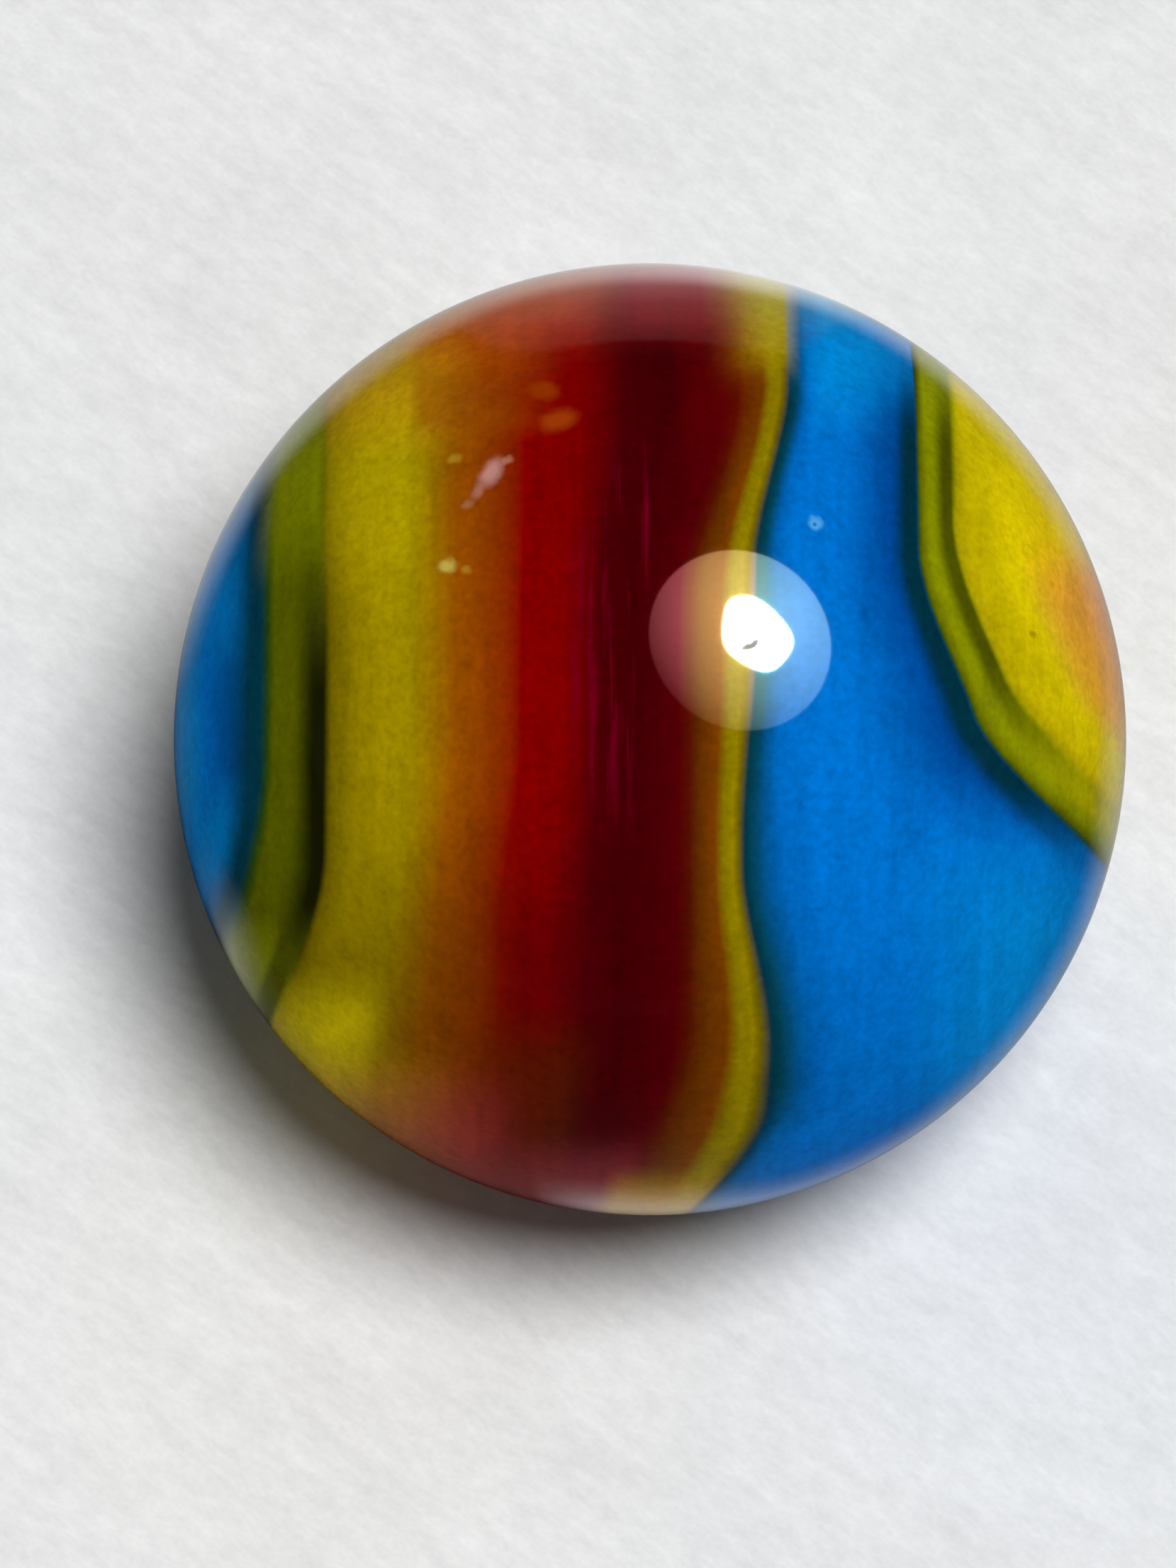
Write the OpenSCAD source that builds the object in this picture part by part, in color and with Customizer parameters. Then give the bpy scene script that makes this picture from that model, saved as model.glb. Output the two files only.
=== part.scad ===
// Glass marble: one solid ball of opaque glass, with ribbons of coloured glass
// that run side by side right through it and reach the surface as bands.
//
// The ball is drawn as slices, cut along the walls between the ribbons. Each
// slice has its ribbon's colour and laps a hair into the next one, so that
// together they fuse into one plain sphere. The origin is the ball's centre.
// On the ribbons' face X runs to the right, across the ribbons, and Y runs up,
// along them. All sizes are in millimetres.

/* [Ball] */
// Diameter of the ball
ball_d = 16; // [12:0.5:25]
// Lean of the ribbons' face, from straight up towards the front
lean = 20; // [0:5:90]

/* [Middle ribbons] */
// Left side of the yellow thread, right of the ball's centre
thread_x = 1.2; // [-2:0.1:3]
// Width of the yellow thread
thread_w = 0.42; // [0.3:0.02:1]
// Width of the brown ribbon that borders the thread
brown_w = 0.6; // [0.3:0.1:1.5]
// Width of the maroon ribbon
maroon_w = 1.65; // [0.8:0.05:3]
// Width of the red ribbon
red_w = 1.2; // [0.6:0.1:2.4]
// Width of the orange ribbon
orange_w = 1.6; // [0.8:0.1:3]
// Width of the yellow ribbon
yellow_w = 1.75; // [0.8:0.05:3]
// Width of the blue ribbon, where it is straight
blue_w = 2.15; // [1:0.05:4]

/* [Folds] */
// Width of the dark line where a yellow ribbon folds over an olive one
crease_w = 0.24; // [0.1:0.02:0.5]
// Width of the dark teal shade along each side of the blue glass
shade_w = 0.32; // [0.16:0.02:0.6]
// Width of the olive ribbon at the left fold
left_olive_w = 0.56; // [0.3:0.02:1.2]
// Width of the olive ribbon at the right fold, where it is straight
right_olive_w = 0.34; // [0.3:0.02:1.2]
// Width of the yellow ribbon right of the right fold
right_yellow_w = 1.15; // [0.6:0.05:2]
// Width of the orange ribbon right of that
right_orange_w = 0.9; // [0.4:0.1:2]

/* [Bends] */
// How far the thread swings right towards the top
thread_top_swing = 0.6; // [0:0.1:1]
// How far the thread swings right below the middle
thread_low_swing = 0.55; // [0:0.05:1]
// How far the thread hooks back to the left at the bottom
thread_hook = 2; // [0:0.2:3]
// How far the right fold sweeps out to the right, from top to bottom
right_sweep = 4; // [0:0.2:5]
// How far the left fold splays out to the left at the bottom
left_splay = 1.4; // [0:0.1:2]

/* [Hidden] */
$fn = 96;

blue = "#0070d0";
teal = "#023f56";
olive = "#525c04";
crease = "#1f2003";
yellow = "#a09000";
orange = "#964d01";
red = "#800000";
maroon = "#430105";
brown = "#6b3301";
thread_yellow = "#8c8401";
bright_yellow = "#c7b801";
bright_orange = "#d39201";
coral = "#c8502a";

// The ribbons from left to right. The first and the last run out to the rim,
// so only the ones between them have a width.
ribbons = [
    [blue, 0],
    [teal, shade_w],
    [olive, left_olive_w],
    [crease, crease_w],
    [yellow, yellow_w],
    [orange, orange_w],
    [red, red_w],
    [maroon, maroon_w],
    [brown, brown_w],
    [thread_yellow, thread_w],
    [teal, shade_w],
    [blue, blue_w],
    [teal, shade_w],
    [olive, right_olive_w],
    [crease, crease_w],
    [bright_yellow, right_yellow_w],
    [bright_orange, right_orange_w],
    [coral, 0],
];

// Walls are numbered from the left: wall i stands between ribbons i and i + 1
wall_count = len(ribbons) - 1;
left_olive_wall = 1;
left_crease_wall = 3;
red_wall = 5;
brown_wall = 7;
thread_left_wall = 8;
thread_wall = 9;
right_olive_wall = 12;
right_crease_wall = 14;

// Least thickness that a bend leaves of a ribbon
thin_w = 0.05;
// How far each slice laps into the one on its right, so that they fuse
lap = 0.02;
// The walls are drawn past the ball on every side
reach = ball_d / 2 + 1;
// Flat steps along each wall
wall_steps = 36;

// Width of ribbons 1 to last, together
function span(last) = last < 1 ? 0 : ribbons[last][1] + span(last - 1);

// Where each wall stands before it bends
wall_x = [for (i = [0:wall_count - 1]) thread_x + span(i) - span(thread_left_wall)];

// Each bend eases a wall sideways as it runs between two heights:
// [start height, end height, sideways shift]
left_olive_bends = [[2.4, 6, 0.3], [-0.4, -5, -0.65 * left_splay]];
left_crease_bends = [[-1.8, -6.6, -left_splay]];
red_bends = [[0, -3.2, -0.4]];
brown_bends = [[2.2, 5.8, 0.85], [-4.6, -9, -1.3]];
thread_bends = [
    [-1.6, 1.6, 0.2],
    [2.8, 6, thread_top_swing],
    [-2, -5.2, thread_low_swing],
    [-6, -9.2, -thread_hook],
];
right_olive_bends = [[3.2, -0.8, 0.3 * right_sweep], [0.4, -3.2, 0.7 * right_sweep]];
right_crease_bends = [[3.6, -0.4, 0.3 * right_sweep], [1, -3, 0.7 * right_sweep]];

function ease(t) = t <= 0 ? 0 : t >= 1 ? 1 : t * t * (3 - 2 * t);

function total(list) = len(list) == 0 ? 0 : list * [for (item = list) 1];

// Sideways shift that a list of bends gives at height y
function shift(bends, y) = total([for (b = bends) b[2] * ease((y - b[0]) / (b[1] - b[0]))]);

// Shifts of the walls that lead, by place: the others follow the two around them
function leading_shifts(y) = [
    [wall_x[left_olive_wall], shift(left_olive_bends, y)],
    [wall_x[left_crease_wall], shift(left_crease_bends, y)],
    [wall_x[red_wall], shift(red_bends, y)],
    [wall_x[brown_wall], shift(brown_bends, y)],
    [wall_x[thread_wall], shift(thread_bends, y)],
    [wall_x[right_olive_wall], shift(right_olive_bends, y)],
    [wall_x[right_crease_wall], shift(right_crease_bends, y)],
];

// Places of all walls at height y, from the left, never closer than thin_w
function walls_at(y, shifts, i = 0, done = []) =
    i == wall_count ? done : let (
        own = wall_x[i] + lookup(wall_x[i], shifts),
        least = i == 0 ? own : done[i - 1] + thin_w
    ) walls_at(y, shifts, i + 1, concat(done, [max(own, least)]));

heights = [for (step = [0:wall_steps]) -reach + 2 * reach * step / wall_steps];
walls = [for (y = heights) walls_at(y, leading_shifts(y))];
// Past the ball and every wall, where the outer ribbons end
far = reach + max([for (row = walls, x = row) abs(x)]);

// Side of a ribbon as points going up. Left of the first wall and right of the
// last one it is a straight line outside the ball.
function side(i) = [
    for (step = [0:wall_steps])
        [i < 0 ? -far : i == wall_count ? far : walls[step][i], heights[step]]
];

function reversed(list) = [for (i = [len(list) - 1:-1:0]) list[i]];

// Outline of ribbon i, seen on the ribbons' face
module ribbon_outline(i) {
    polygon(concat(reversed(side(i - 1)), [for (point = side(i)) point + [lap, 0]]));
}

module ball() {
    sphere(d = ball_d);
}

module marble() {
    rotate([lean, 0, 0])
        for (i = [0:wall_count])
            color(ribbons[i][0])
                intersection() {
                    ball();
                    linear_extrude(height = 2 * reach, center = true)
                        ribbon_outline(i);
                }
}

marble();
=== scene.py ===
import math

import bpy
from bpy.props import FloatProperty, FloatVectorProperty, IntProperty, PointerProperty
from bpy.types import NodeSocket, Operator, Panel, PropertyGroup
from mathutils import Matrix, Vector


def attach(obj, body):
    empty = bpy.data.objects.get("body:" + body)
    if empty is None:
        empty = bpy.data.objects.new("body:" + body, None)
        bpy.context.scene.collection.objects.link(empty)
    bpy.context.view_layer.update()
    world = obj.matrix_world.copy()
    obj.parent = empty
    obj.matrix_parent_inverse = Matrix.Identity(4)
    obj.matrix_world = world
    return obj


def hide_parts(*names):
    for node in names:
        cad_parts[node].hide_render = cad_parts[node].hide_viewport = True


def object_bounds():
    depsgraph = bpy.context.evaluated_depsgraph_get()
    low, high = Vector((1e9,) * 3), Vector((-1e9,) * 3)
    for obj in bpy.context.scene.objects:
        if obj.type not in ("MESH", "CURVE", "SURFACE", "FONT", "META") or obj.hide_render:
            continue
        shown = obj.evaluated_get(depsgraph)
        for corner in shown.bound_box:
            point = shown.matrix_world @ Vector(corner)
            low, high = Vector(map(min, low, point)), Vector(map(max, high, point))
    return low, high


bl_info = {
    "name": "Glass marble",
    "version": (1, 0, 0),
    "blender": (4, 5, 0),
    "location": "3D View > Sidebar > Marble",
    "description": "Makes a ribboned glass marble and the pale table that it lies on",
    "category": "Add Mesh",
}

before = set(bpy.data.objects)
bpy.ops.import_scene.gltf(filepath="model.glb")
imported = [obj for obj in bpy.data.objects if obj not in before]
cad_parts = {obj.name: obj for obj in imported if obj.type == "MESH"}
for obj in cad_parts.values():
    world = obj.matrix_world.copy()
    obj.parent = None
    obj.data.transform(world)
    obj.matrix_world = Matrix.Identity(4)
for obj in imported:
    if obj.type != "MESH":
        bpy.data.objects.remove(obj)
cad_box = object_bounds()

CAD_NODE = "marble"
BODY = "root"

MM = 0.001
PER_METRE_TO_MM = 1000.0
WHITE = (1.0, 1.0, 1.0)

low, high = cad_box
BALL_CENTRE = (low + high) / 2
BALL_DIAMETER = high.x - low.x
FLOOR_HEIGHT = low.z


def linear(hex_colour):
    """An sRGB hex colour as the three linear values that Blender works in."""
    values = []
    for start in (1, 3, 5):
        c = int(hex_colour[start : start + 2], 16) / 255
        values.append(c / 12.92 if c <= 0.04045 else ((c + 0.055) / 1.055) ** 2.4)
    return tuple(values)


def add_node(tree, kind, inputs=None, **settings):
    """Adds a node, with its settings, and sets or links its inputs by name or number."""
    item = tree.nodes.new(kind)
    for name, value in settings.items():
        setattr(item, name, value)
    for key, value in (inputs or {}).items():
        if isinstance(value, NodeSocket):
            tree.links.new(value, item.inputs[key])
        else:
            item.inputs[key].default_value = value
    return item


def maths(tree, operation, *values):
    """A sum on numbers, each of them a value or a socket."""
    return add_node(tree, "ShaderNodeMath", dict(enumerate(values)), operation=operation).outputs[0]


def vector_maths(tree, operation, *values):
    """A sum on vectors, which gives a number where it is a length or a distance."""
    node = add_node(tree, "ShaderNodeVectorMath", dict(enumerate(values)), operation=operation)
    return node.outputs["Value" if operation in {"LENGTH", "DISTANCE"} else "Vector"]


def scaled(tree, vector, scale):
    """A vector or a colour, times a number."""
    return add_node(
        tree, "ShaderNodeVectorMath", {0: vector, "Scale": scale}, operation="SCALE"
    ).outputs[0]


def evenly(tree, value, start, end, low=0.0, high=1.0, how="LINEAR"):
    """A number that runs from low to high as value runs from start to end, and goes no further."""
    return add_node(
        tree,
        "ShaderNodeMapRange",
        {"Value": value, "From Min": start, "From Max": end, "To Min": low, "To Max": high},
        interpolation_type=how,
    ).outputs[0]


def eased(tree, *values):
    """The same, but it starts and ends gently."""
    return evenly(tree, *values, how="SMOOTHSTEP")


def empty_material(name):
    """A new material that has no nodes yet, and its node tree."""
    material = bpy.data.materials.new(name)
    material.use_nodes = True
    material.node_tree.nodes.clear()
    return material, material.node_tree


def in_mm(tree, place, turn):
    """A place in metres, turned by three angles and given in mm."""
    return add_node(
        tree,
        "ShaderNodeMapping",
        {
            "Vector": place,
            "Rotation": turn,
            "Scale": (PER_METRE_TO_MM, PER_METRE_TO_MM, PER_METRE_TO_MM),
        },
    ).outputs[0]


# --- What a user would change -------------------------------------------------


def colour_setting(name, description, hex_colour):
    return FloatVectorProperty(
        name=name, description=description, default=linear(hex_colour), subtype="COLOR", min=0, max=1
    )


GRID = 128
RIPPLE_DEPTH = 0.0035 * MM
RIPPLE_LENGTH = 3.5 * MM


class MARBLE_PG_ball(PropertyGroup):
    """Sizes of the glass ball."""

    diameter: FloatProperty(
        name="Diameter", description="Diameter of the ball", default=BALL_DIAMETER, unit="LENGTH"
    )
    grid: IntProperty(
        name="Grid",
        description="Points along each edge of the cube that the ball is made from",
        default=GRID,
    )
    ripple_depth: FloatProperty(
        name="Ripple depth",
        description="How far the fire-polished skin rises and falls",
        default=RIPPLE_DEPTH,
        unit="LENGTH",
    )
    ripple_length: FloatProperty(
        name="Ripple length", description="Length of one such wave", default=RIPPLE_LENGTH, unit="LENGTH"
    )
    lean: FloatProperty(
        name="Lean",
        description="Lean of the ribbons' face, from straight up towards the front",
        default=math.radians(20),
        subtype="ANGLE",
    )


class MARBLE_PG_glass(PropertyGroup):
    """Colours of the glass in the ribbons, and of the haze and fold shade painted on them."""

    sky: colour_setting("Sky", "Blue glass where it is thin, near its ends and sides", "#008edc")
    blue: colour_setting("Blue", "Glass of the wide blue ribbon", "#006fcb")
    navy: colour_setting("Navy", "Blue glass where it is thick, beside a fold", "#003a86")
    teal: colour_setting("Teal", "Shade along the sides of the blue glass", "#02303f")
    moss: colour_setting("Moss", "Where the blue glass runs into the olive", "#2a5010")
    olive: colour_setting("Olive", "Glass that a yellow ribbon folds over", "#7a8001")
    # Painted shade: the dark line where one ribbon folds over another, the fold itself having no shape
    crease: colour_setting("Crease", "Dark line in a fold", "#191a02")
    yellow: colour_setting("Yellow", "Glass of the left yellow ribbon", "#a89201")
    orange: colour_setting("Orange", "Glass of the orange ribbon", "#9a5201")
    # Where amber reaches the top rim it is painted reflection of the table's light, tinted by the glass
    amber: colour_setting("Amber", "Orange glass where it is thin, near its upper end", "#dc7008")
    umber: colour_setting("Umber", "Smoky glass in the lower end of the warm ribbons", "#462700")
    red: colour_setting("Red", "Glass of the red ribbon", "#820000")
    maroon: colour_setting("Maroon", "Glass of the maroon ribbon", "#430004")
    # Rose is painted reflection: a pink haze of the table's light on the lower rim, laid as colour
    painted_rose: colour_setting("Rose", "Cloudy glass in the lower end of the red ribbons", "#b83a44")
    # Scarlet is painted light: the haze of the table's light on the top rim, laid as colour
    painted_scarlet: colour_setting("Scarlet", "Red glass where it is thin, near its upper end", "#b43010")
    plum: colour_setting("Plum", "Fine streaks in the maroon glass", "#74001e")
    mahogany: colour_setting("Mahogany", "Where the maroon glass runs into the brown", "#541001")
    brown: colour_setting("Brown", "Glass beside the yellow thread", "#6c3501")
    thread: colour_setting("Thread", "Glass of the thin yellow thread", "#8c7a01")
    bright_yellow: colour_setting("Bright yellow", "Glass of the right yellow ribbon", "#d6c002")
    bright_orange: colour_setting("Bright orange", "Glass of the right orange ribbon", "#e2a812")
    coral: colour_setting("Coral", "Glass at the right side of the ball", "#e09642")


class MARBLE_PG_stage(PropertyGroup):
    """Table, lamps and camera."""

    floor_colour: colour_setting("Floor", "Colour of the table", "#e9eaea")
    key_share: FloatProperty(
        name="Key", description="Share of the light that comes from the key lamp", default=0.93
    )
    key_softness: FloatProperty(
        name="Key softness",
        description="Angle that the key lamp takes up in the sky",
        default=math.radians(19),
        subtype="ANGLE",
    )
    elevation: FloatProperty(
        name="Camera elevation",
        description="Height of the camera above the horizon",
        default=math.radians(70),
        subtype="ANGLE",
    )
    lens: FloatProperty(name="Lens", description="Focal length in millimetres", default=300.0)


# --- The ball ------------------------------------------------------------------

# Pits in the skin, where a stone or seed has broken it: right and up of the ball's centre on the
# ribbons' face, width and depth, in mm
PITS = (
    (-2.62, 4.34, 0.62, 0.030),
    (-2.95, 4.00, 0.30, 0.015),
    (-3.34, 2.80, 0.36, 0.016),
    (2.66, 3.50, 0.24, 0.014),
    (-1.60, 5.40, 0.40, 0.012),
    (-3.22, 4.58, 0.28, 0.010),
)


def on_ball(right, up, radius):
    """Point on the front of a ball of that radius, so far right and up of its centre."""
    return Vector((right, up, math.sqrt(max(radius**2 - right**2 - up**2, 0.0))))


def ball_tree(pits, lean):
    """Geometry nodes that blow a gridded cube up into a ball with a rippled, pitted skin."""
    tree = bpy.data.node_groups.new("Gridded ball", "GeometryNodeTree")
    tree.is_modifier = True
    sizes = {}
    for name, kind, default in (
        ("Diameter", "NodeSocketFloat", BALL_DIAMETER),
        ("Grid", "NodeSocketInt", GRID),
        ("Ripple depth", "NodeSocketFloat", RIPPLE_DEPTH),
        ("Ripple length", "NodeSocketFloat", RIPPLE_LENGTH),
        ("Glass", "NodeSocketMaterial", None),
    ):
        socket = tree.interface.new_socket(name, in_out="INPUT", socket_type=kind)
        if default is not None:
            socket.default_value = default
        sizes[name] = socket.identifier
    tree.interface.new_socket("Geometry", in_out="OUTPUT", socket_type="NodeSocketGeometry")
    given = add_node(tree, "NodeGroupInput").outputs
    radius = maths(tree, "DIVIDE", given["Diameter"], 2.0)

    cube = add_node(
        tree,
        "GeometryNodeMeshCube",
        {
            "Size": (2.0, 2.0, 2.0),
            "Vertices X": given["Grid"],
            "Vertices Y": given["Grid"],
            "Vertices Z": given["Grid"],
        },
    )
    # The tangent spreads the grid evenly over the ball
    place = add_node(tree, "GeometryNodeInputPosition").outputs[0]
    spread = vector_maths(tree, "TANGENT", scaled(tree, place, math.pi / 4))
    outward = vector_maths(tree, "NORMALIZE", spread)
    plain = scaled(tree, outward, radius)

    waves = maths(tree, "DIVIDE", 1.0, given["Ripple length"])
    wave = add_node(
        tree, "ShaderNodeTexNoise", {"Vector": plain, "Scale": waves, "Detail": 1.0}
    ).outputs[0]
    centred = maths(tree, "SUBTRACT", wave, 0.5)
    height = maths(tree, "MULTIPLY", centred, given["Ripple depth"])
    turn = Matrix.Rotation(lean, 3, "X")
    for right, up, width, depth in pits:
        towards = turn @ on_ball(right * MM, up * MM, BALL_DIAMETER / 2)
        towards.normalize()
        apart = vector_maths(tree, "DISTANCE", outward, towards)
        dip = eased(tree, apart, 0.0, width * MM / BALL_DIAMETER, -depth * MM, 0.0)
        height = maths(tree, "ADD", height, dip)
    skin = scaled(tree, outward, maths(tree, "ADD", radius, height))
    moved = add_node(
        tree, "GeometryNodeSetPosition", {"Geometry": cube.outputs["Mesh"], "Position": skin}
    )
    smooth = add_node(tree, "GeometryNodeSetShadeSmooth", {"Geometry": moved.outputs[0]})
    real = add_node(tree, "GeometryNodeRealizeInstances", {"Geometry": smooth.outputs[0]})
    glazed = add_node(
        tree, "GeometryNodeSetMaterial", {"Geometry": real.outputs[0], "Material": given["Glass"]}
    )
    add_node(tree, "NodeGroupOutput", {"Geometry": glazed.outputs[0]})
    return tree, sizes


# --- Ribbon glass ----------------------------------------------------------------

# The walls that lead, the same as the part's own: place before bending, right of the ball's centre,
# and bends as start height, end height and sideways shift, in mm. The ribbons between them follow.
LEADING_WALLS = (
    (-6.40, ((2.4, 6.0, 0.3), (-0.4, -5.0, -0.91))),
    (-5.60, ((-1.8, -6.6, -1.4),)),
    (-2.25, ((0.0, -3.2, -0.4),)),
    (0.60, ((2.2, 5.8, 0.85), (-4.6, -9.0, -1.3))),
    (1.62, ((-1.6, 1.6, 0.2), (2.8, 6.0, 0.6), (-2.0, -5.2, 0.55), (-6.0, -9.2, -2.0))),
    (4.41, ((3.2, -0.8, 1.2), (0.4, -3.2, 2.8))),
    (4.99, ((3.6, -0.4, 1.2), (1.0, -3.0, 2.8))),
)
# Least width that a bend leaves between two of them, in mm
THINNEST = 0.05

# Glass across the unbent ribbons: place in mm, glass, and how strong its colour is there
BANDS = (
    (-8.1, "sky", 1.5),
    (-7.6, "sky", 1.1),
    (-7.35, "blue", 1.15),
    (-7.05, "blue", 0.64),
    (-6.65, "teal", 1.5),
    (-6.44, "teal", 1.6),
    (-6.32, "moss", 0.9),
    (-6.2, "olive", 0.6),
    (-5.37, "olive", 0.55),
    (-5.31, "yellow", 0.42),
    (-4.85, "yellow", 0.82),
    (-4.4, "yellow", 1.0),
    (-3.95, "yellow", 0.92),
    (-3.2, "orange", 1.0),
    (-2.1, "red", 1.05),
    (-1.45, "red", 0.96),
    (-0.85, "maroon", 1.2),
    (-0.35, "maroon", 0.95),
    (0.1, "maroon", 1.15),
    (0.42, "maroon", 1.45),
    (0.6, "mahogany", 1.0),
    (0.8, "brown", 0.82),
    (1.02, "brown", 1.2),
    (1.16, "thread", 0.9),
    (1.3, "thread", 1.05),
    (1.39, "thread", 0.62),
    (1.5, "teal", 1.1),
    (1.62, "teal", 1.8),
    (1.86, "blue", 0.84),
    (2.15, "blue", 1.02),
    (4.27, "blue", 1.0),
    (4.33, "moss", 0.8),
    (4.41, "olive", 0.7),
    (4.52, "olive", 1.2),
    (4.92, "olive", 1.38),
    (5.05, "bright_yellow", 0.7),
    (5.25, "bright_yellow", 0.98),
    (5.95, "bright_yellow", 1.14),
    (6.5, "bright_orange", 1.15),
    (7.1, "coral", 1.15),
)
# The bands are drawn in two halves that meet here
BAND_SPLIT = 0.1

# Darker and lighter runs laid over the bands, each over those before it: places and heights where it
# begins, is full, starts to fade and ends, in mm, then its glass, how strong its colour is and how much
# of it there is
RUNS = (
    # Lower end of the warm ribbons
    ((-5.3, -4.2, -2.4, -1.6), (-9.0, -8.0, -3.6, -0.6), "umber", 1.0, 0.36),
    ((-2.4, -1.7, -1.1, -0.4), (-9.0, -8.0, -3.8, -1.4), "maroon", 1.25, 0.5),
    ((-2.6, -2.0, -1.3, -0.5), (-9.0, -8.0, -5.6, -4.2), "umber", 1.0, 0.4),
    ((-5.5, -5.35, -4.4, -3.6), (-8.0, -7.0, -5.0, -3.6), "bright_yellow", 1.3, 0.7),
    ((-5.2, -4.7, -3.7, -2.5), (-9.0, -7.6, -6.0, -4.8), "bright_orange", 1.0, 0.34),
    # The two rose runs are painted reflection, a pink haze of the table's light on the lower rim
    ((-5.2, -4.3, -2.9, -1.4), (-9.0, -8.0, -6.8, -5.1), "painted_rose", 1.1, 0.42),
    ((-2.6, -1.2, 0.2, 0.9), (-9.0, -8.2, -7.6, -6.4), "painted_rose", 1.2, 0.35),
    ((-0.1, 0.5, 1.4, 1.5), (-9.0, -8.6, -7.8, -7.0), "bright_orange", 0.9, 0.7),
    # Upper end of the warm ribbons
    ((-5.5, -5.2, -4.2, -3.4), (1.6, 4.2, 5.4, 6.6), "bright_yellow", 1.0, 0.4),
    ((-6.0, -5.0, -3.8, -2.6), (4.4, 5.8, 8.4, 9.0), "bright_orange", 1.0, 0.55),
    # Painted reflection: the table's light, tinted by the glass, on the top rim
    ((-4.4, -3.5, -2.5, -1.5), (5.4, 6.6, 8.4, 9.0), "amber", 1.0, 0.55),
    ((-4.05, -3.7, -2.8, -1.6), (4.8, 5.3, 5.7, 6.3), "amber", 0.5, 0.6),
    ((-3.3, -2.6, -1.6, -0.9), (5.2, 5.8, 6.3, 7.0), "red", 1.0, 0.3),
    # Painted light: the table's light as a red haze on the top rim
    ((-4.4, -2.2, -1.8, -0.7), (6.1, 7.1, 8.4, 9.0), "painted_scarlet", 1.05, 0.75),
    # Painted reflection: the table's light on the maroon at the top rim, laid as red
    ((-1.4, -0.6, 0.6, 1.0), (6.3, 6.9, 8.4, 9.0), "red", 1.0, 0.6),
    ((-0.4, 0.1, 0.7, 1.0), (3.8, 5.4, 6.6, 7.4), "red", 1.0, 0.2),
    # Upper end of the thread and of the glass beside it
    ((0.1, 0.75, 0.85, 1.05), (5.4, 6.6, 8.4, 9.0), "brown", 1.8, 0.6),
    ((0.35, 1.15, 1.4, 1.75), (5.8, 6.6, 8.4, 9.0), "thread", 2.0, 0.7),
    ((1.4, 1.55, 1.75, 2.1), (5.4, 6.8, 8.4, 9.0), "sky", 0.8, 0.4),
    # Left fold
    ((-6.7, -6.3, -5.54, -5.34), (2.2, 4.4, 8.4, 9.0), "olive", 1.4, 0.8),
    ((-6.6, -6.3, -5.85, -5.7), (-5.4, -4.6, -3.7, -2.8), "olive", 1.5, 0.7),
    # Painted shade along the left fold
    ((-5.98, -5.5, -5.38, -5.22), (-4.2, -2.6, 0.6, 3.6), "crease", 1.0, 1.0),
    # Right fold, and the yellow, orange and coral glass right of it
    ((4.5, 4.8, 5.6, 6.0), (-6.0, -4.0, -1.6, 0.6), "bright_yellow", 1.0, 0.5),
    ((4.4, 4.5, 4.9, 5.2), (4.7, 5.8, 8.4, 9.0), "olive", 1.9, 0.7),
    # Painted shade along the right fold
    ((4.58, 4.8, 4.88, 5.02), (-1.2, 1.6, 4.8, 6.4), "crease", 1.0, 0.75),
    ((4.9, 5.0, 5.3, 5.9), (0.2, 1.4, 3.4, 4.4), "bright_yellow", 0.72, 0.7),
    ((5.3, 6.2, 9.0, 9.5), (2.4, 3.6, 8.4, 9.0), "bright_yellow", 1.3, 0.8),
    ((4.9, 5.1, 6.0, 7.0), (4.4, 5.8, 8.4, 9.0), "bright_yellow", 1.35, 0.7),
    ((5.8, 6.5, 9.0, 9.5), (-1.4, 0.2, 2.0, 3.2), "coral", 1.0, 0.4),
    # Blue glass on the left, thin at the rim
    ((-9.0, -8.5, -7.2, -6.5), (0.6, 2.4, 8.0, 9.0), "sky", 1.1, 0.65),
    ((-9.0, -8.5, -7.1, -6.5), (-9.0, -8.0, -2.2, -0.2), "sky", 1.15, 0.8),
    # Blue glass on the right, thin at its ends and thick beside the fold
    ((1.45, 1.7, 2.6, 3.6), (-9.0, -8.4, -6.9, -5.6), "blue", 1.15, 0.6),
    ((1.7, 2.3, 4.26, 4.34), (4.6, 6.4, 8.4, 9.0), "sky", 1.2, 0.85),
    ((2.4, 3.6, 4.26, 4.34), (-9.0, -8.0, -3.4, -1.2), "sky", 1.0, 0.85),
    ((2.4, 3.6, 4.26, 4.34), (-9.0, -8.4, -5.4, -3.4), "sky", 1.2, 0.7),
    ((2.7, 4.0, 4.26, 4.34), (-2.0, -0.4, 4.8, 7.0), "navy", 1.0, 0.85),
    ((3.8, 4.12, 4.28, 4.37), (-2.8, -0.6, 4.8, 6.6), "teal", 1.0, 1.0),
)
# Where there are streaks of plum in the maroon glass: places and heights as above
STREAKED = ((-1.5, -1.0, -0.3, 0.1), (-2.0, 0.2, 3.4, 5.4))

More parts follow.
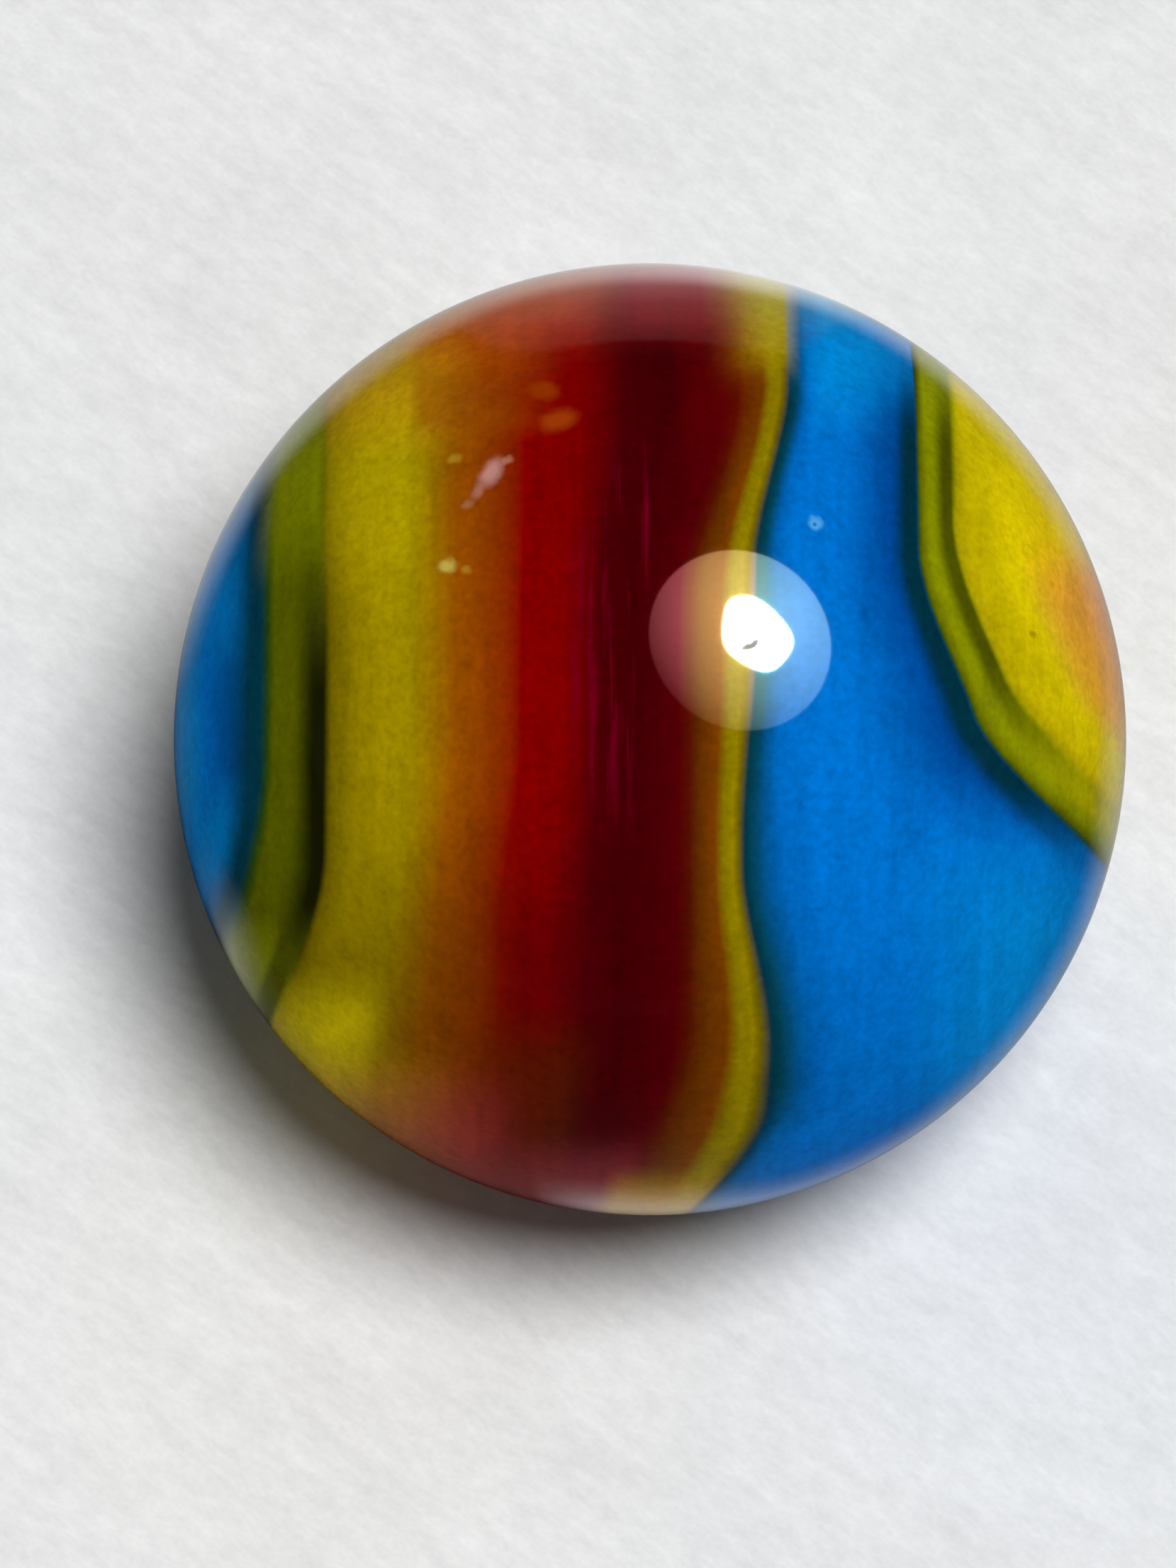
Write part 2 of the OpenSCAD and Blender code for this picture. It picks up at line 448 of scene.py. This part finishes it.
# Small stones and seeds in the skin: right and up of the ball's centre on the ribbons' face, length and
# width, in mm, turn in degrees, colour, amount, and dullness where the skin is broken
SPECKS = (
    (-2.62, 4.34, 0.66, 0.40, 62.0, "#d0948a", 0.85, 0.4),
    (-2.84, 4.02, 0.40, 0.24, 70.0, "#c4806a", 0.65, 0.4),
    (-3.02, 3.80, 0.26, 0.20, 0.0, "#b8805a", 0.50, 0.2),
    (-2.36, 4.54, 0.26, 0.18, 20.0, "#c88a70", 0.60, 0.2),
    (-3.22, 4.58, 0.30, 0.24, 0.0, "#c8a428", 0.55, 0.0),
    (-3.34, 2.80, 0.40, 0.28, 0.0, "#d8c458", 0.75, 0.2),
    (-3.02, 2.74, 0.24, 0.20, 0.0, "#c89830", 0.50, 0.0),
    (-4.20, 3.08, 0.24, 0.20, 0.0, "#c8be00", 0.50, 0.0),
    (-1.53, 5.20, 0.72, 0.50, 15.0, "#b84c0c", 0.65, 0.0),
    (-1.78, 5.70, 0.72, 0.44, -20.0, "#a84404", 0.60, 0.0),
    (2.66, 3.50, 0.29, 0.29, 0.0, "#64bcf8", 0.80, 0.0),
    (2.66, 3.50, 0.13, 0.13, 0.0, "#0070c8", 0.90, 0.0),
    (6.27, 1.72, 0.26, 0.14, 0.0, "#8c7400", 0.60, 0.0),
    (1.58, 1.50, 0.42, 0.13, 28.0, "#90948f", 0.90, 0.9),
)

# Painted light at the ends of the ribbons: the haze of the table's light along the top and bottom rim.
# Heights where the paling starts and is full, in mm, and its amount
PAINTED_RIM_HAZE = ((6.6, 7.5, 0.6), (7.15, 7.85, 0.85), (-6.6, -8.0, 0.12))
# Least lift of the colour there, and the power that pales it
HAZE_LIFT = 0.0012
HAZE_POWER = 0.5
# Depths between which the paling grows from nothing, behind, to what it is in front, in mm
HAZE_TURN = (-2.4, 0.2)

# Sideways sway of the ribbons: waves a mm along each axis, and reach in mm
SWAY_STRETCH = (0.3, 0.22, 0.22)
SWAY_DETAIL = 1.0
SWAY_REACH_FRONT = 0.12
SWAY_REACH_BACK = 3.0
# Depths between which the sway grows from that of the front to that of the back, in mm
SWAY_TURN = (0.0, -5.0)
# Streaks drawn out along the ribbons: waves a mm along each axis, the noise at which a streak begins to
# show and is full, and how much of it there is
STREAK_STRETCH = (5.5, 0.3, 0.3)
STREAK_DETAIL = 2.0
STREAK_RANGE = (0.02, 0.2)
STREAK_AMOUNT = 0.7
# Fine lines drawn out along them: waves a mm along each axis, and share of the colour
LINE_STRETCH = (4.5, 0.3, 0.3)
LINE_DETAIL = 3.0
LINE_DEPTH = 0.4
# Cloudiness in the glass: waves a mm and share of the colour. The finest is drawn as coarse as it has to
# be to show
MOTTLE = ((0.9, 0.22), (3.0, 0.36), (8.0, 0.6))
MOTTLE_DETAIL = 2.0
# What the colours are raised by, because the skin mirrors away some of the light
GAIN = 1.08
# How far the specks' edges stray, in mm, and in how many waves a mm
SPECK_FRAY = 0.14
FRAY_WAVES = 5.0
# Where a speck starts to fade and where it ends, as shares of its half length and width
SPECK_EDGE = (0.3, 1.2)
# Saturation of the glass colour where it tints the shine, and the power that pales it there
SHINE_DEPTH = 0.995
SHINE_PALING = 0.25
# How light dark and pale glass are, and how much of that tint the shine takes on each
SHINE_LIGHTS = (0.02, 0.3)
SHINE_TINTS = (0.97, 0.85)
# Fire-polished soda-lime glass
SKIN_ROUGHNESS = 0.04
GLASS_IOR = 1.5
# Twice the plain level, because the tint above takes away some of the shine
SHINE_LEVEL = 1.0


def ribbon_place(tree, right, up):
    """Place across the unbent ribbons, in mm, of each point of the glass."""
    walls = []
    for home, bends in LEADING_WALLS:
        wall = home
        for start, end, shift in bends:
            wall = maths(tree, "ADD", eased(tree, up, start, end, 0.0, shift), wall)
        walls.append(wall)

    left_of_first = maths(tree, "SUBTRACT", right, walls[0])
    place = maths(tree, "MINIMUM", left_of_first, 0.0)
    place = maths(tree, "ADD", place, LEADING_WALLS[0][0])
    for i in range(len(walls) - 1):
        least = maths(tree, "ADD", walls[i], THINNEST)
        end = maths(tree, "MAXIMUM", walls[i + 1], least)
        unbent = LEADING_WALLS[i + 1][0] - LEADING_WALLS[i][0]
        place = maths(tree, "ADD", place, evenly(tree, right, walls[i], end, 0.0, unbent))
    right_of_last = maths(tree, "SUBTRACT", right, walls[-1])
    return maths(tree, "ADD", place, maths(tree, "MAXIMUM", right_of_last, 0.0))


def window(tree, value, begins, full, fades, ends):
    """One between full and fades, easing to nothing at begins and ends."""
    rise = eased(tree, value, begins, full)
    fall = eased(tree, value, fades, ends, 1.0, 0.0)
    return maths(tree, "MULTIPLY", rise, fall)


def patch(tree, place, height, places, heights):
    """One in a patch of the ribbons, easing to nothing on its four sides."""
    across = window(tree, place, *places)
    upward = window(tree, height, *heights)
    return maths(tree, "MULTIPLY", across, upward)


def blended(tree, amount, under, over):
    """Colour over laid on colour under by an amount."""
    return add_node(
        tree,
        "ShaderNodeMix",
        {0: amount, 6: under, 7: over},
        data_type="RGBA",
        blend_type="MIX",
        clamp_factor=True,
    ).outputs[2]


def add_ramp(tree, along, stops):
    """Ramp of up to 32 stops, each a position and its three or four values, read at along."""
    node = add_node(tree, "ShaderNodeValToRGB", {0: along})
    ramp = node.color_ramp
    while len(ramp.elements) > 1:
        ramp.elements.remove(ramp.elements[-1])
    for number, (position, *values) in enumerate(stops):
        stop = ramp.elements[0] if number == 0 else ramp.elements.new(position)
        stop.position = position
        stop.color = ([min(value, 1.0) for value in values] + [1.0])[:4]
    return node.outputs


def bands(tree, place, stops, glass):
    """Colour by place across the ribbons, running evenly from each stop to the next."""
    first, last = stops[0][0], stops[-1][0]
    colours = [
        ((spot - first) / (last - first), *(c * strength for c in getattr(glass, name)))
        for spot, name, strength in stops
    ]
    return add_ramp(tree, evenly(tree, place, first, last), colours)[0]


def noise(tree, face, stretch, detail, reach):
    """Noise around nought, with so many waves a mm along each axis, reaching about so far."""
    stretched = vector_maths(tree, "MULTIPLY", face, stretch)
    wave = add_node(
        tree, "ShaderNodeTexNoise", {"Vector": stretched, "Scale": 1.0, "Detail": detail}
    ).outputs[0]
    return maths(tree, "MULTIPLY", maths(tree, "SUBTRACT", wave, 0.5), reach)


def shine_colour(tree, colour):
    """Tint of the shine: the darker the glass, the more of its own colour it gives what it mirrors."""
    parts = add_node(tree, "ShaderNodeSeparateColor", {0: colour}, mode="HSV").outputs
    depth = maths(tree, "MULTIPLY", parts[1], SHINE_DEPTH)
    full = add_node(
        tree, "ShaderNodeCombineColor", {0: parts[0], 1: depth, 2: 1.0}, mode="HSV"
    ).outputs[0]
    full = add_node(tree, "ShaderNodeGamma", {0: full, 1: SHINE_PALING}).outputs[0]
    light = add_node(tree, "ShaderNodeRGBToBW", {0: colour}).outputs[0]
    amount = evenly(tree, light, *SHINE_LIGHTS, *SHINE_TINTS)
    return blended(tree, amount, (*WHITE, 1.0), full)


def with_painted_haze(tree, axes, colour):
    """The colour, paled towards the ends of the ribbons on the front: painted haze of the table's light
    at the top and bottom rim.
    """
    front = eased(tree, axes["Z"], *HAZE_TURN)
    for starts, full, amount in PAINTED_RIM_HAZE:
        lifted = vector_maths(tree, "ADD", colour, (HAZE_LIFT, HAZE_LIFT, HAZE_LIFT))
        pale = add_node(tree, "ShaderNodeGamma", {0: lifted, 1: HAZE_POWER}).outputs[0]
        mask = maths(tree, "MULTIPLY", eased(tree, axes["Y"], starts, full, 0.0, amount), front)
        colour = blended(tree, mask, colour, pale)
    return colour


def specked(tree, face, colour):
    """The colour with the specks laid on it, and the skin's roughness, which the broken ones raise."""
    frayed = add_node(
        tree, "ShaderNodeTexNoise", {"Vector": face, "Scale": FRAY_WAVES, "Detail": 2.0}
    ).outputs["Color"]
    frayed = vector_maths(tree, "SUBTRACT", frayed, (0.5, 0.5, 0.5))
    frayed = vector_maths(
        tree, "MULTIPLY_ADD", frayed, (SPECK_FRAY, SPECK_FRAY, SPECK_FRAY), face
    )
    rough = SKIN_ROUGHNESS
    for right, up, length, width, turn, tint, amount, dull in SPECKS:
        spot = add_node(
            tree,
            "ShaderNodeMapping",
            {
                "Vector": frayed,
                "Location": on_ball(right, up, BALL_DIAMETER / 2 / MM),
                "Rotation": (0.0, 0.0, math.radians(turn)),
                "Scale": (length / 2, width / 2, length / 2),
            },
            vector_type="TEXTURE",
        ).outputs[0]
        mask = eased(tree, vector_maths(tree, "LENGTH", spot), *SPECK_EDGE, amount, 0.0)
        colour = blended(tree, mask, colour, (*linear(tint), 1.0))
        if dull:
            rough = maths(tree, "MULTIPLY_ADD", mask, dull, rough)
    return colour, rough


def ribbon_glass(glass, lean):
    """Opaque soda-lime glass, drawn out in ribbons and fire-polished.

    The colours run into each other where the ribbons melted together, and stay sharp where one folds
    over another. The skin is as smooth as a drop, so lamps show in it as crisp white shapes.
    """
    material, tree = empty_material("Ribbon glass")
    place_on_ball = add_node(tree, "ShaderNodeTexCoord").outputs["Object"]
    face = in_mm(tree, place_on_ball, (-lean, 0.0, 0.0))
    axes = add_node(tree, "ShaderNodeSeparateXYZ", {0: face}).outputs
    reach = eased(tree, axes["Z"], *SWAY_TURN, SWAY_REACH_FRONT, SWAY_REACH_BACK)
    sway = noise(tree, face, SWAY_STRETCH, SWAY_DETAIL, reach)
    right = maths(tree, "ADD", axes["X"], sway)
    place = ribbon_place(tree, right, axes["Y"])

    left_side = bands(tree, place, [band for band in BANDS if band[0] <= BAND_SPLIT], glass)
    right_side = bands(tree, place, [band for band in BANDS if band[0] >= BAND_SPLIT], glass)
    is_right = maths(tree, "GREATER_THAN", place, BAND_SPLIT)
    colour = blended(tree, is_right, left_side, right_side)
    for places, heights, name, strength, amount in RUNS:
        mask = maths(tree, "MULTIPLY", patch(tree, place, axes["Y"], places, heights), amount)
        tint = [min(c * strength, 1.0) for c in getattr(glass, name)]
        colour = blended(tree, mask, colour, (*tint, 1.0))

    streak = noise(tree, face, STREAK_STRETCH, STREAK_DETAIL, 1.0)
    streak = eased(tree, streak, *STREAK_RANGE, 0.0, STREAK_AMOUNT)
    mask = maths(tree, "MULTIPLY", patch(tree, place, axes["Y"], *STREAKED), streak)
    colour = blended(tree, mask, colour, (*glass.plum, 1.0))

    # Lines drawn out along the ribbons, and a finer cloudiness, as gain on the colour
    gain = noise(tree, face, LINE_STRETCH, LINE_DETAIL, LINE_DEPTH)
    for scale, depth in MOTTLE:
        cloud = noise(tree, face, (scale, scale, scale), MOTTLE_DETAIL, depth)
        gain = maths(tree, "ADD", gain, cloud)
    colour = scaled(tree, colour, maths(tree, "ADD", gain, GAIN))
    # Painted haze of the table's light at the top and bottom rim
    colour = with_painted_haze(tree, axes, colour)
    colour, rough = specked(tree, face, colour)
    shader = add_node(
        tree,
        "ShaderNodeBsdfPrincipled",
        {
            "Base Color": colour,
            "Roughness": rough,
            "IOR": GLASS_IOR,
            "Specular IOR Level": SHINE_LEVEL,
            "Specular Tint": shine_colour(tree, colour),
        },
    )
    add_node(tree, "ShaderNodeOutputMaterial", {"Surface": shader.outputs[0]})
    return material


class MARBLE_OT_make_ball(Operator):
    """Makes the ball of ribboned glass."""

    bl_idname = "marble.make_ball"
    bl_label = "Make the ball"
    bl_options = {"REGISTER", "UNDO"}

    def execute(self, context):
        ball = context.scene.marble_ball
        material = ribbon_glass(context.scene.marble_glass, ball.lean)
        tree, sizes = ball_tree(PITS, ball.lean)
        seed = bpy.data.objects.new("ball_nodes", bpy.data.meshes.new("ball_nodes"))
        context.scene.collection.objects.link(seed)
        growing = seed.modifiers.new("Gridded ball", "NODES")
        growing.node_group = tree
        growing[sizes["Diameter"]] = ball.diameter
        growing[sizes["Grid"]] = ball.grid
        growing[sizes["Ripple depth"]] = ball.ripple_depth
        growing[sizes["Ripple length"]] = ball.ripple_length
        growing[sizes["Glass"]] = material
        shaped = seed.evaluated_get(context.evaluated_depsgraph_get())
        mesh = bpy.data.meshes.new_from_object(shaped)
        if not mesh.polygons:
            raise RuntimeError("The ball came out with no faces")
        bpy.data.objects.remove(seed)
        mesh.name = "glass_ball"
        mesh.transform(Matrix.Translation(BALL_CENTRE))
        piece = bpy.data.objects.new("glass_ball", mesh)
        context.scene.collection.objects.link(piece)
        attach(piece, BODY)
        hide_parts(CAD_NODE)
        return {"FINISHED"}


# --- The stage -----------------------------------------------------------------

# Half the width of the table, in metres
FLOOR_REACH = 3.0
# In the ball's shine the table is dimmer than it is, and fades with distance as under one near lamp. It
# reaches furthest at the back, away from whoever stands at the front and shades it. Round the ball, from
# the left by the front to the right and the back: bearing in degrees, share of the table's light, how far
# it reaches, what share more there is close to the ball, and how far from its foot that starts.
MIRRORED = (
    (-180, 0.03, 7.0 * MM, 0.0, 18.0 * MM),
    (-174, 0.03, 7.0 * MM, 0.04, 18.0 * MM),
    (-166, 0.04, 8.0 * MM, 0.42, 19.0 * MM),
    (-157, 0.04, 8.0 * MM, 0.04, 16.0 * MM),
    (-150, 0.04, 9.0 * MM, 0.0, 14.0 * MM),
    (-108, 0.05, 13.0 * MM, 0.0, 12.0 * MM),
    (-98, 0.07, 14.0 * MM, 0.5, 12.4 * MM),
    (-84, 0.07, 14.0 * MM, 0.5, 12.4 * MM),
    (-69, 0.05, 10.0 * MM, 0.36, 11.0 * MM),
    (-48, 0.04, 8.0 * MM, 0.33, 11.3 * MM),
    (-29, 0.04, 7.0 * MM, 0.3, 12.8 * MM),
    (-11, 0.05, 7.0 * MM, 0.32, 14.4 * MM),
    (5, 0.06, 7.0 * MM, 0.46, 18.5 * MM),
    (20, 0.07, 7.0 * MM, 0.33, 20.0 * MM),
    (34, 0.08, 8.0 * MM, 0.4, 21.5 * MM),
    (46, 0.08, 9.0 * MM, 0.48, 23.2 * MM),
    (58, 0.1, 10.0 * MM, 0.62, 24.2 * MM),
    (69, 0.09, 10.0 * MM, 0.62, 25.0 * MM),
    (80, 0.16, 200.0 * MM, 0.95, 27.0 * MM),
    (90, 0.2, 300.0 * MM, 0.75, 28.5 * MM),
    (100, 0.16, 200.0 * MM, 0.55, 27.0 * MM),
    (111, 0.1, 12.0 * MM, 0.52, 28.5 * MM),
    (122, 0.1, 12.0 * MM, 0.5, 28.0 * MM),
    (134, 0.09, 10.0 * MM, 0.6, 23.5 * MM),
    (147, 0.06, 8.0 * MM, 0.42, 20.8 * MM),
    (160, 0.03, 7.0 * MM, 0.06, 18.0 * MM),
    (180, 0.03, 7.0 * MM, 0.0, 18.0 * MM),
)
# The ramps hold numbers up to one, so the table's distances are given there as shares of these
FURTHEST = 300.0 * MM
CLOSE_START = 30.0 * MM
# The light close to the ball is full at this share of the distance at which it starts
CLOSE_FULL = 0.66
# Share of the horizon's light in the ball's shine, and heights between which the horizon fades
MIRRORED_BACKDROP = 0.02
HORIZON_FADE = (0.035, 0.12)
# Where the key lamp shines from
KEY_FROM = Vector((0.172, -0.12, 0.978))
# The softbox that shows in the glass: where it stands as seen from the ball, how far off in metres, and
# its eight corners as angle in degrees and reach, where a reach of one is as far out as it is away
LAMP_TOWARDS = Vector((0.421, 0.105, 0.901))
LAMP_AWAY = 1.0
LAMP_CORNERS = (
    (11, 0.151),
    (88, 0.163),
    (127, 0.198),
    (167, 0.156),
    (206, 0.164),
    (248, 0.147),
    (291, 0.17),
    (341, 0.154),
)
# How many times its corners are cut off, and where along the side each cut falls
LAMP_ROUNDING = 2
CORNER_CUT = 0.25
LAMP_GLOW = 75.0
# The round cloth shade behind the softbox, dimmer and wider: the same, and degrees between its corners
SHADE_TOWARDS = Vector((0.359, 0.083, 0.930))
SHADE_AWAY = 1.1
SHADE_REACH = 0.394
SHADE_STEP = 5
# It is brightest at one spot. Where that is as seen from the ball, how bright the shade is where the
# light has faded and at that spot, and how far off it has faded, as a share of the shade's reach
SHADE_BRIGHTEST = Vector((0.466, 0.208, 0.860))
SHADE_GLOW = (0.3, 8.4)
SHADE_FADE = 1.48
SHADE_COLOUR = (1.0, 0.82, 0.64)
# The ball in the frame: share of the long side, and how far right and up of the middle, in mm
BALL_SHARE = 0.607
BALL_RIGHT = 1.04
BALL_UP = 0.75
# Width of the camera's sensor, in mm
SENSOR = 36.0
# The camera sees from a tenth of its distance to the ball to twenty times that distance
CLIP_NEAR = 10
CLIP_FAR = 20

# The paper's cloudiness: waves a mm along each axis, and share of its light; then the way its fibres lie
PAPER_CLOUDS = (
    ((0.2, 0.25, 0.3), 0.16),
    ((0.5, 1.6, 1.0), 0.16),
    ((2.2, 4.5, 3.0), 0.2),
    ((8.0, 12.0, 9.0), 0.14),
)
PAPER_DETAIL = 3.0
PAPER_TURN = math.radians(38)
PAPER_LEVEL = 0.962


def mirrored_share(tree, spot):
    """Share of its light that a spot of the table gives: all of it, but for what shows in the shine."""
    away = vector_maths(tree, "LENGTH", vector_maths(tree, "MULTIPLY", spot, (1.0, 1.0, 0.0)))
    axes = add_node(tree, "ShaderNodeSeparateXYZ", {0: spot}).outputs
    bearing = maths(tree, "ARCTAN2", axes["Y"], axes["X"])
    round_ball = evenly(tree, bearing, -math.pi, math.pi)
    stops = [
        ((degrees + 180) / 360, share, far / FURTHEST, more, starts / CLOSE_START)
        for degrees, share, far, more, starts in MIRRORED
    ]
    ramp, starts = add_ramp(tree, round_ball, stops)
    share, far, more = add_node(tree, "ShaderNodeSeparateColor", {0: ramp}).outputs
    # Past its reach the light fades with the square of the distance
    near = maths(tree, "DIVIDE", maths(tree, "MULTIPLY", far, FURTHEST), away)
    near = maths(tree, "MINIMUM", maths(tree, "POWER", near, 2.0), 1.0)
    mirrored = maths(tree, "MULTIPLY", near, share)
    starts = maths(tree, "MULTIPLY", starts, CLOSE_START)
    full = maths(tree, "MULTIPLY", starts, CLOSE_FULL)
    mirrored = maths(tree, "ADD", mirrored, eased(tree, away, starts, full, 0.0, more))
    glossy = add_node(tree, "ShaderNodeLightPath").outputs["Is Glossy Ray"]
    return evenly(tree, glossy, 0.0, 1.0, 1.0, mirrored)


def paper(colour):
    """Matte uncoated paper, pressed flat: no shine, and a faint cloudiness from its fibres."""
    material, tree = empty_material("Matte paper")
    spot = add_node(tree, "ShaderNodeTexCoord").outputs["Object"]
    sheet = in_mm(tree, spot, (0.0, 0.0, PAPER_TURN))
    amount = PAPER_LEVEL
    for stretch, depth in PAPER_CLOUDS:
        cloud = noise(tree, sheet, stretch, PAPER_DETAIL, depth)
        amount = maths(tree, "ADD", cloud, amount)
    amount = maths(tree, "MULTIPLY", amount, mirrored_share(tree, spot))
    shader = add_node(
        tree,
        "ShaderNodeBsdfPrincipled",
        {"Base Color": scaled(tree, colour, amount), "Roughness": 1.0, "Specular IOR Level": 0.0},
    )
    add_node(tree, "ShaderNodeOutputMaterial", {"Surface": shader.outputs[0]})
    return material


def glow(name, edge, middle, centre, reach, colour=WHITE):
    """Lit cloth of a lamp: brightest at its centre, and fading evenly to its edge."""
    material, tree = empty_material(name)
    spot = add_node(tree, "ShaderNodeTexCoord").outputs["Object"]
    away = vector_maths(tree, "DISTANCE", spot, centre)
    strength = evenly(tree, away, 0.0, reach, middle, edge)
    light = add_node(tree, "ShaderNodeEmission", {"Color": (*colour, 1.0), "Strength": strength})
    add_node(tree, "ShaderNodeOutputMaterial", {"Surface": light.outputs[0]})
    return material


def rounded(points, times):
    """The outline with each corner cut off between a quarter of its two sides, so many times over."""
    for _ in range(times):
        cut = []
        for i, here in enumerate(points):
            after = points[(i + 1) % len(points)]
            cut += [here.lerp(after, CORNER_CUT), here.lerp(after, 1 - CORNER_CUT)]
        points = cut
    return points


def hang_panel(context, name, towards, away, corners, material, rounding=0):
    """A flat lit panel that faces the ball and shows only in its shine."""
    direction = towards.normalized()
    across = Vector((0, 1, 0)).cross(direction).normalized()
    upward = direction.cross(across)
    middle = BALL_CENTRE + direction * away
    points = []
    for angle, reach in corners:
        turn = math.radians(angle)
        points.append(middle + (across * math.cos(turn) + upward * math.sin(turn)) * reach * away)
    points = rounded(points, rounding)
    mesh = bpy.data.meshes.new(name)
    mesh.from_pydata(points, [], [list(range(len(points)))[::-1]])
    mesh.materials.append(material)
    panel = bpy.data.objects.new(name, mesh)
    context.scene.collection.objects.link(panel)
    panel.visible_camera = False
    panel.visible_diffuse = False
    panel.visible_transmission = False
    panel.visible_shadow = False


def set_world(context, fill, floor_colour):
    """Plain fill for matte surfaces. The camera and shine see a pale horizon under a dark ceiling."""
    world = bpy.data.worlds.new("Studio")
    context.scene.world = world
    world.use_nodes = True
    tree = world.node_tree
    tree.nodes.clear()
    towards = add_node(tree, "ShaderNodeTexCoord").outputs["Generated"]
    height = add_node(tree, "ShaderNodeSeparateXYZ", {0: towards}).outputs["Z"]
    fade = eased(tree, height, *HORIZON_FADE, 1.0, 0.0)
    ray = add_node(tree, "ShaderNodeLightPath").outputs
    dim = evenly(tree, ray["Is Glossy Ray"], 0.0, 1.0, 1.0, MIRRORED_BACKDROP)
    strength = maths(tree, "MULTIPLY", fade, dim)
    seen = add_node(
        tree, "ShaderNodeBackground", {"Color": (*floor_colour, 1.0), "Strength": strength}
    )
    filled = add_node(tree, "ShaderNodeBackground", {"Color": (*WHITE, 1.0), "Strength": fill})
    sees = maths(tree, "MAXIMUM", ray["Is Camera Ray"], ray["Is Glossy Ray"])
    sees = maths(tree, "MAXIMUM", sees, ray["Is Transmission Ray"])
    both = add_node(
        tree, "ShaderNodeMixShader", {0: sees, 1: filled.outputs[0], 2: seen.outputs[0]}
    )
    add_node(tree, "ShaderNodeOutputWorld", {"Surface": both.outputs[0]})


class MARBLE_OT_set_stage(Operator):
    """Lays the pale table, hangs the lamps and sets the camera."""

    bl_idname = "marble.set_stage"
    bl_label = "Set the stage"
    bl_options = {"REGISTER", "UNDO"}

    def execute(self, context):
        stage = context.scene.marble_stage
        mesh = bpy.data.meshes.new("table")
        corners = [(-1, -1), (1, -1), (1, 1), (-1, 1)]
        mesh.from_pydata(
            [(x * FLOOR_REACH, y * FLOOR_REACH, FLOOR_HEIGHT) for x, y in corners], [], [(0, 1, 2, 3)]
        )
        mesh.materials.append(paper(stage.floor_colour))
        floor = bpy.data.objects.new("table", mesh)
        context.scene.collection.objects.link(floor)

        key = bpy.data.lights.new("Key", "SUN")
        key.energy = stage.key_share * math.pi / KEY_FROM.normalized().z
        key.angle = stage.key_softness
        lamp = bpy.data.objects.new("Key", key)
        lamp.rotation_mode = "QUATERNION"
        lamp.rotation_quaternion = KEY_FROM.to_track_quat("Z", "Y")
        lamp.visible_glossy = False
        context.scene.collection.objects.link(lamp)

        lamp_middle = BALL_CENTRE + LAMP_TOWARDS.normalized() * LAMP_AWAY
        cloth = glow("Softbox cloth", LAMP_GLOW, LAMP_GLOW, lamp_middle, LAMP_AWAY)
        hang_panel(context, "softbox", LAMP_TOWARDS, LAMP_AWAY, LAMP_CORNERS, cloth, LAMP_ROUNDING)
        brightest = BALL_CENTRE + SHADE_BRIGHTEST.normalized() * SHADE_AWAY
        faded = SHADE_REACH * SHADE_AWAY * SHADE_FADE
        cloth = glow("Lamp shade cloth", *SHADE_GLOW, brightest, faded, SHADE_COLOUR)
        rim = [(angle, SHADE_REACH) for angle in range(0, 360, SHADE_STEP)]
        hang_panel(context, "lamp_shade", SHADE_TOWARDS, SHADE_AWAY, rim, cloth)
        set_world(context, 1 - stage.key_share, stage.floor_colour)

        camera = bpy.data.cameras.new("Camera")
        camera.sensor_width = SENSOR
        camera.lens = stage.lens
        eye = bpy.data.objects.new("Camera", camera)
        context.scene.collection.objects.link(eye)
        back = Vector((0, -math.cos(stage.elevation), math.sin(stage.elevation)))
        right = Vector((1, 0, 0))
        upward = back.cross(right)
        frame_height = BALL_DIAMETER / BALL_SHARE
        away = frame_height / 2 / (SENSOR / 2 / stage.lens)
        aim = BALL_CENTRE - right * BALL_RIGHT * MM - upward * BALL_UP * MM
        eye.rotation_mode = "QUATERNION"
        eye.location = aim + back * away
        eye.rotation_quaternion = back.to_track_quat("Z", "Y")
        camera.clip_start = away / CLIP_NEAR
        camera.clip_end = away * CLIP_FAR
        context.scene.camera = eye
        context.scene.view_settings.view_transform = "Standard"
        return {"FINISHED"}


class MARBLE_PT_sidebar(Panel):
    """Sizes, colours and makers of the marble."""

    bl_idname = "MARBLE_PT_sidebar"
    bl_label = "Glass marble"
    bl_space_type = "VIEW_3D"
    bl_region_type = "UI"
    bl_category = "Marble"

    def draw(self, context):
        for heading, group, maker in (
            ("Ball", context.scene.marble_ball, MARBLE_OT_make_ball),
            ("Glass", context.scene.marble_glass, None),
            ("Stage", context.scene.marble_stage, MARBLE_OT_set_stage),
        ):
            box = self.layout.box()
            box.label(text=heading)
            for name in group.bl_rna.properties.keys():
                if name not in {"rna_type", "name"}:
                    box.prop(group, name)
            if maker:
                box.operator(maker.bl_idname)


SETTINGS = (
    ("marble_ball", MARBLE_PG_ball),
    ("marble_glass", MARBLE_PG_glass),
    ("marble_stage", MARBLE_PG_stage),
)
CLASSES = (
    MARBLE_PG_ball,
    MARBLE_PG_glass,
    MARBLE_PG_stage,
    MARBLE_OT_make_ball,
    MARBLE_OT_set_stage,
    MARBLE_PT_sidebar,
)


def register():
    for cls in CLASSES:
        bpy.utils.register_class(cls)
    for name, group in SETTINGS:
        setattr(bpy.types.Scene, name, PointerProperty(type=group))


def unregister():
    for name, _ in SETTINGS:
        delattr(bpy.types.Scene, name)
    for cls in reversed(CLASSES):
        bpy.utils.unregister_class(cls)


def main():
    register()
    bpy.ops.marble.make_ball()
    bpy.ops.marble.set_stage()


if __name__ == "__main__":
    main()
